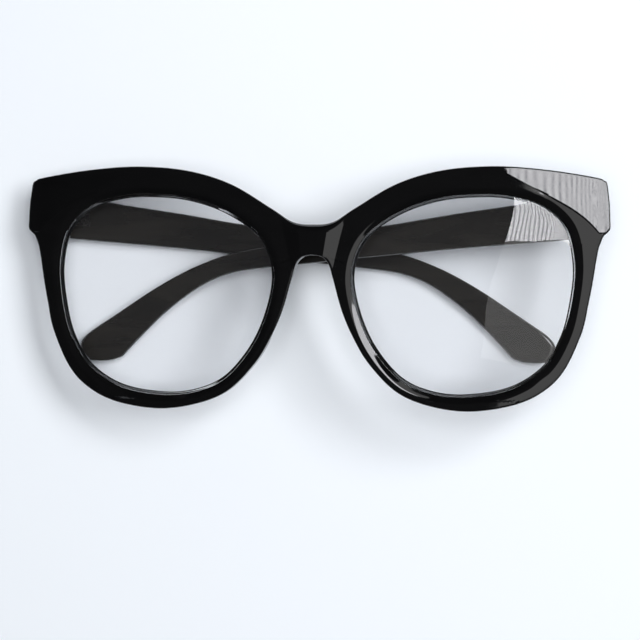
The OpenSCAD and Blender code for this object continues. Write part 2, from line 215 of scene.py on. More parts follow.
@dataclass(frozen=True)
class FrontForm:
    """Outlines and heights of the front, in its own frame.

    x runs across the face, y up from the lens centres and z towards the viewer. Everything is
    given for the half with positive x.
    """

    lens_w: float = 55.8
    lens_h: float = 50.8
    nose_gap: float = 19.2
    wing_out: float = 8.6
    brow_h: float = 6.9
    front_t: float = 4.4
    face_r: float = 350.0
    brow_r: float = 500.0
    rim_side: float = 4.6
    rim_low: float = 3.4
    slope_w: float = 1.4
    slope_more: float = 0.35
    wing_way: tuple[float, float] = (0.6, 0.8)
    slope_d: float = 1.3
    groove_w: float = 1.4
    groove_d: float = 0.8
    lip_t: float = 0.3
    bridge_y: float = 13.7
    bridge_h: float = 7.8
    panel_w: float = 6.5
    panel_flare: float = 0.15
    facet_w: float = 13.7
    facet_flare: float = 0.24
    panel_up: float = 0.5
    rim_down: float = 0.4
    wing_y: float = 16.6
    wing_h: float = 12.5
    wing_notch: float = 2.8
    wing_step: float = 0.25
    wing_tilt: float = 3.2
    crease_from: tuple[float, float] = (0.69, 1.027)
    crease_low: float = 0.05
    crease_bend: float = 0.26
    crease_grow: float = 0.25
    pad_h: float = 3.4
    pad_flare: float = 1.6
    pad_y: float = -3.5
    pad_half: float = 9.0
    land_deep: float = 6.6
    land_w: float = 13.0
    land_low: float = 2.6
    land_run: float = 9.0
    hinge_up: float = 4.0
    pin_inset: float = 6.5
    pin_off: float = 2.0

    @property
    def half_w(self) -> float:
        """Half the width of the front."""
        return self.nose_gap / 2 + self.lens_w + self.wing_out

    @property
    def pin(self) -> tuple[float, float, float]:
        """Middle of the hinge pin with positive x."""
        return (self.half_w - self.pin_inset, self.wing_y + self.hinge_up,
                -self.land_deep - self.front_t - self.pin_off)

    @property
    def lens_c(self) -> np.ndarray:
        """Centre of the lens opening."""
        return np.array([(self.nose_gap + self.lens_w) / 2, 0.0])

    @property
    def saddle(self) -> tuple[float, float]:
        """Lowest and highest y of the bridge in the middle."""
        return self.bridge_y - self.bridge_h / 2, self.bridge_y + self.bridge_h / 2

    def opening(self, steps: int) -> np.ndarray:
        """Outline of the lens opening: a closed curve through eighteen points of a unit shape."""
        shape = np.array([
            [1, 0.3], [0.925, 0.66], [0.713, 0.885], [0.43, 0.98], [0.143, 1], [-0.215, 0.96],
            [-0.573, 0.823], [-0.871, 0.583], [-0.996, 0.26], [-0.964, -0.094],
            [-0.821, -0.488], [-0.573, -0.82], [-0.287, -0.968], [0.036, -1], [0.43, -0.921],
            [0.728, -0.709], [0.892, -0.409], [0.971, -0.075]])
        return closed_curve(self.lens_c + shape * [self.lens_w / 2, self.lens_h / 2], steps)

    def outer_edge(self, steps: int) -> np.ndarray:
        """Outer edge of one half, from the top of the bridge round the rim to the arch.

        It is one curve through the brow, the wing's end, the rim and the arch, each given as
        shares of the front's own sizes.

        Args:
            steps: Places for each stretch between two points.

        Returns:
            The places along the edge, one row each.
        """
        low, top = self.saddle
        brow_top = self.lens_h / 2 + self.brow_h
        brow = np.array([[0, 0], [0.068, 0.04], [0.143, 0.275], [0.28, 0.684], [0.432, 0.92],
                         [0.608, 1], [0.784, 0.95], [0.946, 0.835]])
        wing = np.array([[0.57, 1], [0.3, 0.945], [0.18, 0.78], [0.05, 0.5], [0, 0.16],
                         [0.02, 0.02], [0.25, -0.055], [0.6, -0.13], [0.85, -0.26],
                         [1.02, -0.37]])
        rim = np.array([[1.018, 0.317], [0.991, 0.125], [0.957, -0.077], [0.908, -0.32],
                        [0.778, -0.641], [0.615, -0.829], [0.385, -0.948], [0.046, -1.003],
                        [-0.262, -0.955], [-0.508, -0.836], [-0.71, -0.606],
                        [-0.83, -0.387], [-0.924, -0.146], [-0.992, 0.125]])
        arch = np.array([[0.214, 0.3], [0.151, 0.095], [0.08, 0.02], [0, 0]])
        points = np.vstack([
            brow * [self.half_w, brow_top - top] + [0, top],
            [self.half_w, self.wing_y] + wing * [-self.wing_notch, self.wing_h],
            self.lens_c + rim * [self.lens_w / 2 + self.rim_side, self.lens_h / 2 + self.rim_low],
            [0, low] + arch * [self.nose_gap, -self.bridge_h]])
        return open_curve(points, steps, points[1] * [-1, 1], points[-2] * [-1, 1])

    def bridge_edges(self, y: np.ndarray) -> tuple[np.ndarray, np.ndarray]:
        """Half widths at height y of the bridge's raised panel, and of it with its two facets."""
        up = y - self.bridge_y
        return self.panel_w / 2 + self.panel_flare * up, self.facet_w / 2 + self.facet_flare * up

    @property
    def crease_ends(self) -> tuple[np.ndarray, np.ndarray]:
        """Start of the crease over the lens and its end at the wing's notch."""
        start = self.lens_c + np.array(self.crease_from) * [self.lens_w / 2, self.lens_h / 2]
        end_y = self.wing_y - self.crease_low * self.wing_h
        return start, np.array([self.half_w - self.wing_notch, end_y])

    def crease_y(self, x: np.ndarray) -> np.ndarray:
        """Height of the crease between rim and wing at x: a line that bends down at its end."""
        (ax, ay), (bx, by) = self.crease_ends
        u, bend = (x - ax) / (bx - ax), self.crease_bend
        return ay - (ay - by) * ((1 - bend) * np.minimum(1, u) + bend * np.clip(u, 0, 1)**4)

    def crease_share(self, x: np.ndarray) -> np.ndarray:
        """Share of the crease's step at x: it grows in about the crease's start."""
        (ax, _), (bx, _) = self.crease_ends
        return ease((x - ax) / (self.crease_grow * (bx - ax)) + 0.5)

    def base_z(self, p: np.ndarray) -> np.ndarray:
        """Height of the curved front: -x²/2R - y²/2S for its two radii."""
        return -p[..., 0]**2 / (2 * self.face_r) - p[..., 1]**2 / (2 * self.brow_r)

    def face_z(self, p: np.ndarray) -> np.ndarray:
        """Height of the face.

        To the curved front it adds the raised panel and the facets that run down from it to
        the sunk rim, the step at the crease and the wing that falls away above the crease.

        Args:
            p: Points across the face.

        Returns:
            The height of each.
        """
        x, y = p[..., 0], p[..., 1]
        inner, outer = self.bridge_edges(y)
        t = np.clip((x - inner) / (outer - inner), 0, 1)
        sunk = self.rim_down * t * (1 - ease((x - outer) / self.nose_gap))
        bridge = self.panel_up * (1 - t) - sunk
        d = y - self.crease_y(x)
        step = -self.wing_step * self.crease_share(x) * ease(-d / self.wing_step)
        wing = np.where(d > 0, -d * math.tan(math.radians(self.wing_tilt)), step)
        return self.base_z(p) + bridge + wing

    def back_z(self, p: np.ndarray) -> np.ndarray:
        """Height of the back face, which runs out to a flat land behind the wing."""
        across = ease((p[..., 0] - self.half_w + self.land_w) / self.land_run + 1)
        up = ease((p[..., 1] - self.wing_y + self.land_low) / self.land_run + 1)
        land = across * up
        flat = -(self.land_deep + self.front_t)
        return (1 - land) * (self.base_z(p) - self.front_t) + land * flat

    def slope_run(self, d: np.ndarray) -> np.ndarray:
        """Width of the slope to the lens in direction d: w (1 + m c⁶), c towards the wing."""
        towards_wing = np.clip(d @ np.array(self.wing_way), 0, None)
        return self.slope_w * (1 + self.slope_more * towards_wing**6)

    def groove_z(self, p: np.ndarray) -> np.ndarray:
        """Height of the middle of the lens groove."""
        return self.base_z(p) - self.slope_d - self.lip_t - self.groove_w / 2

    def pad(self, p: np.ndarray) -> np.ndarray:
        """Share of the nose pad's swelling at a point of the outer edge: (1 - u²)² along y."""
        u = (p[..., 1] - self.pad_y) / self.pad_half
        return np.where(p[..., 0] > self.lens_c[0] / 2, 0, np.clip(1 - u**2, 0, None)**2)


@dataclass(frozen=True)
class ArmForm:
    """Sizes of a temple, measured from the pin of its hinge."""

    reach: float = 130.0
    drop: float = 38.4
    root_h: float = 11.4
    waist_h: float = 4.9
    tip_h: float = 10.4
    root_t: float = 3.6
    tip_t: float = 2.8
    splay: float = 4.0
    square_l: float = 30.0
    full_l: float = 18.0
    end_gap: float = 0.1
    rest_gap: float = 0.4
    bend_share: float = 0.71
    mid_drop: float = 0.224


@dataclass(frozen=True)
class Lie:
    """How the folded glasses lie: from the front's frame to the row's frame.

    The right temple lies flat and the left one crosses above it, clear of it. The place where the
    left one bends away from above the right one sets how far the whole front leans.
    """

    front: FrontForm
    arm: ArmForm

    @property
    def lean_sine(self) -> float:
        """Sine of the front's lean about y."""
        apart = 2 * self.front.pin[0] - self.arm.bend_share * self.arm.reach
        return (self.arm.root_t + self.arm.rest_gap) / apart

    @property
    def offset(self) -> tuple[float, float]:
        """How far the front's frame is moved down in y and up in z."""
        x, y, z = self.front.pin
        sine = self.lean_sine
        rise = self.front.pin_off + self.arm.root_t + x * sine - z * math.sqrt(1 - sine**2)
        return y - self.arm.mid_drop * self.arm.drop, rise

    def fold_sine(self, side: Side) -> float:
        """Sine of the angle between a folded temple and the front."""
        return self.lean_sine if side is Side.RIGHT else 0.0

    def down(self, p: np.ndarray, side: Side) -> np.ndarray:
        """Turns points of the front's frame about y and sets them down.

        Args:
            p: Points drawn for the half with positive x.
            side: Side of the wearer that they belong to.

        Returns:
            The points in the row's frame, in millimetres.
        """
        down_y, up_z = self.offset
        return tilt(p * [side.value, 1, 1], self.lean_sine) + [0, -down_y, up_z]


# Finishes


Tree = bpy.types.NodeTree
Socket = bpy.types.NodeSocket


def hex_colour(code: str) -> tuple[float, float, float, float]:
    """Linear colour of an sRGB hex code such as #1a2b3c."""
    shares = [int(code[k:k + 2], 16) / 255 for k in (1, 3, 5)]
    linear = [c / 12.92 if c <= 0.04045 else ((c + 0.055) / 1.055)**2.4 for c in shares]
    return (*linear, 1.0)


def per(mm: float) -> float:
    """Scale of a pattern on metres whose repeat is mm millimetres."""
    return 1 / (mm * MM)


def add_node(tree: Tree, kind: str, inputs: dict | None = None,
             **settings: object) -> bpy.types.Node:
    """Adds a node and sets it up.

    Args:
        tree: Node tree of the material or world.
        kind: Blender's name of the kind of node.
        inputs: For each input's name or number, the socket to link from or its fixed value.
        **settings: Properties of the node itself.

    Returns:
        The new node.
    """
    node = tree.nodes.new(kind)
    for key, value in settings.items():
        setattr(node, key, value)
    for key, value in (inputs or {}).items():
        if isinstance(value, bpy.types.NodeSocket):
            tree.links.new(value, node.inputs[key])
        else:
            node.inputs[key].default_value = value
    return node


def own_place(tree: Tree) -> Socket:
    """Place in the piece's own space, in metres."""
    return add_node(tree, "ShaderNodeTexCoord").outputs["Object"]


def noise(tree: Tree, mm: float | tuple[float, ...], detail: float = 2.0, roughness: float = 0.5,
          distortion: float = 0.0) -> Socket:
    """Noise over the piece, with one grain size in millimetres or one along each axis."""
    place, scale = own_place(tree), 1.0
    if isinstance(mm, tuple):
        place = add_node(tree, "ShaderNodeMapping", {
            "Vector": place, "Scale": tuple(map(per, mm))}).outputs["Vector"]
    else:
        scale = per(mm)
    return add_node(tree, "ShaderNodeTexNoise", {
        "Vector": place, "Scale": scale, "Detail": detail, "Roughness": roughness,
        "Distortion": distortion}).outputs["Fac"]


def ramp(tree: Tree, share: Socket, *stops: tuple[float, str]) -> Socket:
    """Colour at a share of the way along stops, which are places and hex codes in order."""
    node = add_node(tree, "ShaderNodeValToRGB", {"Fac": share})
    elements = node.color_ramp.elements
    for element, (place, code) in zip(elements, (stops[0], stops[-1])):
        element.position, element.color = place, hex_colour(code)
    for place, code in stops[1:-1]:
        elements.new(place).color = hex_colour(code)
    return node.outputs["Color"]


def remap(tree: Tree, value: Socket, span: tuple[float, float],
          onto: tuple[float, float]) -> Socket:
    """Value, with the span of its numbers laid onto another one."""
    return add_node(tree, "ShaderNodeMapRange", {
        "Value": value, "From Min": span[0], "From Max": span[1],
        "To Min": onto[0], "To Max": onto[1]}).outputs["Result"]


def relief(tree: Tree, height: Socket, strength: float, mm: float) -> Socket:
    """Normals of a relief whose heights of 0 to 1 span mm millimetres."""
    return add_node(tree, "ShaderNodeBump", {
        "Height": height, "Strength": strength, "Distance": mm * MM}).outputs["Normal"]


@dataclass(frozen=True)
class Finish:
    """A material; each kind of finish adds its own shader."""

    name: str

    def shader(self, tree: Tree) -> Socket:
        """Adds the shader's nodes and gives their last output."""
        raise NotImplementedError

    def build(self) -> bpy.types.Material:
        """Makes the material."""
        material = bpy.data.materials.new(self.name)
        material.use_nodes = True
        tree = material.node_tree
        tree.nodes.clear()
        add_node(tree, "ShaderNodeOutputMaterial", {"Surface": self.shader(tree)})
        return material


@dataclass(frozen=True)
class MouldedPlastic(Finish):
    """Polished injection-moulded plastic.

    The mould's polish gives a sharp gloss; a slow waviness of the skin bends its reflections, a
    fine haze of handling varies the gloss, and the melt's flow leaves faintly lighter streaks.
    """

    colour: str
    streak: str
    gloss: tuple[float, float]
    wave_mm: float = 9.0
    wave_height_mm: float = 0.009
    haze_mm: float = 3.0
    flow_mm: tuple[float, float, float] = (30.0, 5.0, 5.0)
    ior: float = 1.5

    def shader(self, tree: Tree) -> Socket:
        """Adds the glossy plastic."""
        wave = noise(tree, self.wave_mm, 1.0, 0.4)
        haze = noise(tree, self.haze_mm, 5.0, 0.6)
        flow = noise(tree, self.flow_mm, 3.0, 0.55, 0.6)
        return add_node(tree, "ShaderNodeBsdfPrincipled", {
            "Base Color": ramp(tree, flow, (0.3, self.colour), (0.75, self.streak)),
            "Roughness": remap(tree, haze, (0.35, 0.7), self.gloss), "IOR": self.ior,
            "Normal": relief(tree, wave, 1.0, self.wave_height_mm)}).outputs["BSDF"]


@dataclass(frozen=True)
class ClearLens(Finish):
    """Clear moulded lens: glass-like and colourless, with a faint haze from wiping.

    Lamps pass it as if it were a clear pane, so that its shadow is as faint as the real one's.
    """

    name: str = "clear_lens_plastic"
    tint: str = "#fefeff"
    shade: str = "#fefefe"
    ior: float = 1.5
    wipe_mm: float = 6.0
    haze: tuple[float, float] = (0.0, 0.01)

    def shader(self, tree: Tree) -> Socket:
        """Adds the clear plastic, and the clear pane that shadow rays meet."""
        wipes = noise(tree, self.wipe_mm, 4.0, 0.65)
        pane = add_node(tree, "ShaderNodeBsdfPrincipled", {
            "Base Color": hex_colour(self.tint), "IOR": self.ior, "Transmission Weight": 1.0,
            "Roughness": remap(tree, wipes, (0.45, 0.75), self.haze)})
        clear = add_node(tree, "ShaderNodeBsdfTransparent", {"Color": hex_colour(self.shade)})
        rays = add_node(tree, "ShaderNodeLightPath")
        return add_node(tree, "ShaderNodeMixShader", {
            0: rays.outputs["Is Shadow Ray"], 1: pane.outputs["BSDF"],
            2: clear.outputs["BSDF"]}).outputs["Shader"]


@dataclass(frozen=True)
class GroundEdge(Finish):
    """Edge of a lens as the edging wheel leaves it: matte and pale grey, with marks of its grit."""

    name: str = "ground_lens_edge"
    colour: str = "#d0d2d6"
    dark: str = "#aeb0b4"
    grit_mm: float = 0.35
    roughness: float = 0.55

    def shader(self, tree: Tree) -> Socket:
        """Adds the ground plastic."""
        grit = noise(tree, self.grit_mm)
        return add_node(tree, "ShaderNodeBsdfPrincipled", {
            "Base Color": ramp(tree, grit, (0.3, self.dark), (0.7, self.colour)),
            "Roughness": self.roughness, "Normal": relief(tree, grit, 0.4, 0.02)}).outputs["BSDF"]


@dataclass(frozen=True)
class HingeMetal(Finish):
    """Nickel silver or steel hinge metal, with the fine lines that stamping or turning leaves."""

    colour: str
    lines_dark: str
    gloss: tuple[float, float]
    line_mm: tuple[float, float, float] = (0.12, 0.96, 0.12)

    def shader(self, tree: Tree) -> Socket:
        """Adds the lined metal, which is duller where it is darker."""
        lines = noise(tree, self.line_mm, 3.0, 0.6)
        return add_node(tree, "ShaderNodeBsdfPrincipled", {
            "Base Color": ramp(tree, lines, (0.3, self.lines_dark), (0.7, self.colour)),
            "Metallic": 1.0, "Roughness": remap(tree, lines, (0.3, 0.7), self.gloss[::-1]),
            "Normal": relief(tree, lines, 0.3, 0.01)}).outputs["BSDF"]


@dataclass(frozen=True)
class PalePaper(Finish):
    """Matte pale paper with a faint grain."""

    name: str = "pale_paper"
    colour: str = "#f4f9ff"
    grain_mm: float = 0.5

    def shader(self, tree: Tree) -> Socket:
        """Adds the matte paper."""
        grain = noise(tree, self.grain_mm)
        return add_node(tree, "ShaderNodeBsdfDiffuse", {
            "Color": hex_colour(self.colour),
            "Normal": relief(tree, grain, 0.1, 0.02)}).outputs["BSDF"]


@dataclass(frozen=True)
class Glow(Finish):
    """Light of a plain lit surface or, with a spacing of slats, of a window with thin slats."""

    strength: float
    slat_mm: float = 0.0
    slat_gap: str = "#9c9da2"
    slat_face: str = "#f6f6f9"

    def shader(self, tree: Tree) -> Socket:
        """Adds the light, whose strength is the radiance of its light parts."""
        light = add_node(tree, "ShaderNodeEmission", {"Strength": self.strength})
        if self.slat_mm:
            slats = add_node(tree, "ShaderNodeTexWave", {
                "Vector": own_place(tree), "Scale": WAVE_RUN * per(self.slat_mm),
                "Distortion": 1.5, "Detail": 2.0, "Detail Scale": 1.5}, bands_direction="X")
            colour = ramp(tree, slats.outputs["Fac"], (0.0, self.slat_gap), (0.5, self.slat_face))
            tree.links.new(colour, light.inputs["Color"])
        return light.outputs["Emission"]


def coat(piece: bpy.types.Object, *finishes: bpy.types.Material) -> None:
    """Gives a piece these materials and no others, one to a slot."""
    piece.data.materials.clear()
    for finish in finishes:
        piece.data.materials.append(finish)


# Sub-assemblies


@dataclass(frozen=True)
class Front:
    """The moulded front: both rims, the bridge, the wings and the nose pads in one piece."""

    form: FrontForm
    lie: Lie
    edge_r: float = 0.6
    bridge_roll: float = 2.0
    roll_reach: float = 10.0
    fine_r: float = 0.8
    foot_share: float = 0.6
    back_lip: float = 0.9
    lip_drop: float = 1.3
    edge_steps: int = 10
    seam_points: int = 16
    opening_steps: int = 24
    ray_samples: int = 400
    foot_range: tuple[float, float] = (0.06, 0.9)
    edge_most: float = 0.97
    least_gap: float = 0.05
    face_counts: tuple[int, ...] = (9, 3, 8, 8)
    slope_shares: tuple[float, ...] = (0.0, 0.06, 0.3, 0.6, 0.85)
    wall_shares: tuple[float, ...] = (0.1, 0.35, 0.65, 0.9)
    brink_points: int = 3
    round_steps: int = 6
    roll_steps: int = 8
    lip_steps: int = 5
    back_steps: int = 12

    def boundary(self) -> tuple[np.ndarray, np.ndarray, np.ndarray, np.ndarray]:
        """Points round one half: along the outer edge and back up the cut through the bridge.

        Returns:
            The points, their inward normals (zero on the cut), the radius of the rounded face
            edge there, and whether each point lies on the cut.
        """
        edge = self.form.outer_edge(self.edge_steps)
        low, top = self.form.saddle
        roll = self.edge_r + self.bridge_roll * np.where(
            edge[:, 1] > self.form.bridge_y, 1 - ease(edge[:, 0] / self.roll_reach), 0)
        rise = np.linspace(low + self.edge_r, top - self.edge_r - self.bridge_roll,
                           self.seam_points + 2)[1:-1]
        seam = np.column_stack([np.zeros_like(rise), rise])
        run = np.vstack([[edge[1] * [-1, 1]], edge, [edge[-2] * [-1, 1]]])
        along = unit(run[2:] - run[:-2])
        inward = np.column_stack([along[:, 1], -along[:, 0]])
        points = np.vstack([edge, seam])
        normals = np.vstack([inward, np.zeros_like(seam)])
        radius = np.concatenate([roll, np.full(len(seam), self.edge_r)])
        return points, normals, radius, np.arange(len(points)) >= len(edge)

    def opening_towards(self, p: np.ndarray) -> np.ndarray:
        """Where the rays from the lens centre towards p cross the lens opening.

        Args:
            p: Points outside the opening.

        Returns:
            One point of the opening for each, from its radius as a function of the angle.
        """
        ring = self.form.opening(self.opening_steps) - self.form.lens_c
        angle, radius = np.arctan2(ring[:, 1], ring[:, 0]), np.linalg.norm(ring, axis=1)
        order = np.argsort(angle)
        out = p - self.form.lens_c
        towards = np.arctan2(out[:, 1], out[:, 0])
        reach = np.interp(towards, angle[order], radius[order], period=2 * math.pi)
        return self.form.lens_c + unit(out) * reach[:, None]

    def crossing(self, s: np.ndarray, e: np.ndarray) -> tuple[np.ndarray, np.ndarray]:
        """Shares of the way from s to e at which the face's lines are crossed.

        Each ray is sampled, and a line is crossed where its signed distance changes sign. Rays
        that cross nothing take a share between those of their neighbours.

        Args:
            s: Inner ends of the rays, at the lens edge.
            e: Outer ends of the rays.

        Returns:
            The share at the facet's foot or the crease, and the share at the panel's edge.
        """
        t = np.linspace(0, 1, self.ray_samples)
        p = s[:, None] + (e - s)[:, None] * t[None, :, None]
        x, y = p[..., 0], p[..., 1]
        form = self.form
        panel, facet = (edge - x for edge in form.bridge_edges(y))
        crease = np.where(x > form.lens_c[0], y - form.crease_y(x), -1.0)
        first = np.where(x > form.lens_c[0], crease, facet)

        def share(distance: np.ndarray) -> np.ndarray:
            """Share of each ray at which the distance turns positive."""
            there = (distance[:, 0] < 0) & (distance[:, -1] > 0)
            place, index = t[np.argmax(distance > 0, axis=1)], np.arange(len(s))
            return np.interp(index, index[there], place[there], period=len(s))

        foot = np.clip(share(first), *self.foot_range)
        return foot, np.clip(share(panel), foot + self.least_gap, self.edge_most)

    def section(self) -> tuple[np.ndarray, int, np.ndarray]:
        """Closed section of the rim at every boundary point.

        It runs from the front lip up the slope, over the face, round the outer edge, along the
        back and through the lens groove to the front lip again.

        Returns:
            The points (rays, points of a section, 3), the number of the outer edge's first
            point, and whether each ray lies on the cut through the bridge.
        """
        form = self.form
        o, n, radius, on_cut = self.boundary()
        r = radius[:, None]
        a = self.opening_towards(o)
        d = unit(o - a)
        s, e = a + d * form.slope_run(d)[:, None], o + n * r

        def lift(p: np.ndarray, z: np.ndarray) -> np.ndarray:
            """Points p at heights z."""
            return np.concatenate([p, np.broadcast_to(z, p.shape[:-1])[..., None]], axis=-1)

        def line(p: np.ndarray, q: np.ndarray,
                 shares: np.ndarray | tuple[float, ...]) -> np.ndarray:
            """Points at the shares of the way from p to q."""
            return p[:, None] + (q - p)[:, None] * np.asarray(shares)[None, :, None]

        foot, edge = self.crossing(s, e)
        one = np.ones_like(foot)
        before_foot = foot - np.minimum(self.least_gap, foot / 2)
        marks = np.stack([0 * one, before_foot, foot, edge, one], axis=1)
        shares = np.concatenate([
            marks[:, k:k + 1] + (marks[:, k + 1:k + 2] - marks[:, k:k + 1]) * gathered(count)
            for k, count in enumerate(self.face_counts)] + [one[:, None]], axis=1)
        across = s[:, None] + (e - s)[:, None] * shares[..., None]
        face = lift(across, form.face_z(across))

        foot_in = lift(a, form.base_z(a) - form.slope_d * self.foot_share)
        brink = lift(s, form.face_z(s))
        up = unit(brink - foot_in) * self.fine_r
        start = face[:, 0] - up
        slope = line(foot_in, start, self.slope_shares)
        brink_round = arc(start, brink, face[:, self.brink_points], self.round_steps)

        over = lift(o, form.face_z(e))
        side = lift(o, form.face_z(e) - radius)
        roll = arc(face[:, -1], over, side, self.roll_steps)
        swell = form.pad(o)
        flare = n * (form.pad_flare * swell)[:, None]
        low = -form.pad_h * swell
        foot_out = lift(o + flare, form.back_z(o) + self.edge_r + low)
        wall = line(side, foot_out, self.wall_shares)
        corner = lift(o + flare, form.back_z(o) + low)
        e_back = o + n * self.edge_r
        behind = lift(e_back + flare, form.back_z(e_back) + low)
        foot_roll = arc(foot_out, corner, behind, self.round_steps)

        lip = a - d * self.back_lip
        b = lip + d * self.edge_r
        back_shares = gathered(self.back_steps)[1:]
        under = line(e_back + flare, b, back_shares)
        fade = (1 - ease(back_shares))[None, :]
        back = lift(under, form.back_z(under) + low[:, None] * fade)
        inner_top = lift(lip, form.back_z(lip) + self.edge_r)
        back_round = arc(lift(b, form.back_z(b)), lift(lip, form.back_z(lip)), inner_top,
                         self.lip_steps)
        middle = form.groove_z(a)
        shelf = lift(lip, middle - self.lip_drop)
        mouth_low = lift(a, middle - form.groove_w / 2)
        bottom = lift(a + d * form.groove_d, middle)
        mouth_top = lift(a, middle + form.groove_w / 2)
        rest = np.stack([(inner_top + shelf) / 2, shelf, mouth_low, bottom, mouth_top], axis=1)

        parts = [slope, brink_round, face[:, self.brink_points + 1:-1], roll, wall, foot_roll,
                 back, back_round, rest]
        wall_start = sum(part.shape[1] for part in parts[:3])
        return np.concatenate(parts, axis=1), wall_start, on_cut

    def build(self) -> bpy.types.Object:
        """Makes the front from its two mirrored halves, open where they meet at the cut."""
        sections, wall_start, on_cut = self.section()
        rays, columns, _ = sections.shape
        quads = grid_faces(rays, columns, True, True)
        ray, column = quads[:, 0] // columns, quads[:, 0] % columns
        edge_end = int(np.argmax(on_cut)) - 1
        cut = (ray >= edge_end) | (ray == rays - 1)
        wall_end = wall_start + self.roll_steps + 1 + len(self.wall_shares) + self.round_steps + 1
        keep = ~(cut & (column >= wall_start) & (column < wall_end - 1))
        quads = quads[keep]
        points = sections.reshape(-1, 3)
        halves = [self.lie.down(points, side) for side in Side]
        faces = np.vstack([quads, quads[:, ::-1] + len(points)])
        return add_mesh("front", np.vstack(halves), faces)


@dataclass(frozen=True)
class Lens:
    """A domed lens with its ground edge, seated in the groove of a rim.

    Its back face is domed a little more than its front face.
    """

    form: FrontForm
    lie: Lie
    side: Side
    thickness: float = 1.8
    bulge: float = 1.5
    back_more: float = 0.05
    play: float = 0.25
    bevel: float = 0.65
    shoulder: float = 0.1
    shoulder_drop: float = 0.08
    rings: int = 14
    steps: int = 16

    def ring(self, scale: np.ndarray, inset: float, face: int) -> np.ndarray:
        """Points of the lens at a scale of its outline.

        The height is that of the groove, half the thickness to the face's side of it, plus that
        face's bulge times 1 - scale².

        Args:
            scale: Scales about the lens centre, one for each ring.
            inset: How far the outline is drawn in from the opening.
            face: 1 for the front face, -1 for the back face, 0 for the edge's ridge.

        Returns:
            Points (rings, points of the outline, 3) in the front's frame.
        """
        outline = self.form.opening(self.steps) - self.form.lens_c
        drawn = outline - unit(outline) * inset
        p = self.form.lens_c + drawn[None] * np.asarray(scale)[:, None, None]
        bulge = self.bulge + self.back_more * (face < 0)
        dome = abs(face) * bulge * (1 - np.asarray(scale)**2)[:, None]
        z = self.form.groove_z(p) + face * self.thickness / 2 + dome
        return np.concatenate([p, z[..., None]], axis=-1)

    def build(self) -> bpy.types.Object:
        """Makes the lens; its second material slot is the ground edge."""
        scales = np.linspace(0, 1, self.rings)
        top = self.ring(scales, self.bevel, 1)
        shoulder = self.ring(np.ones(1), self.shoulder, 1) - [0, 0, self.shoulder_drop]
        ridge = self.ring(np.ones(1), self.play - self.form.groove_d, 0)
        low = self.ring(scales[::-1], self.bevel, -1)
        rings = np.concatenate([top, shoulder, ridge, low])
        count = rings.shape[1]
        quads = grid_faces(len(rings), count, False, True)
        ring = quads[:, 0] // count
        ground = (ring >= self.rings - 1) & (ring <= self.rings + 1)
        points = self.lie.down(rings.reshape(-1, 3), self.side)
        return add_mesh(f"{self.side.word}_lens_pane", points, quads, self.side is Side.RIGHT,
                        ground)


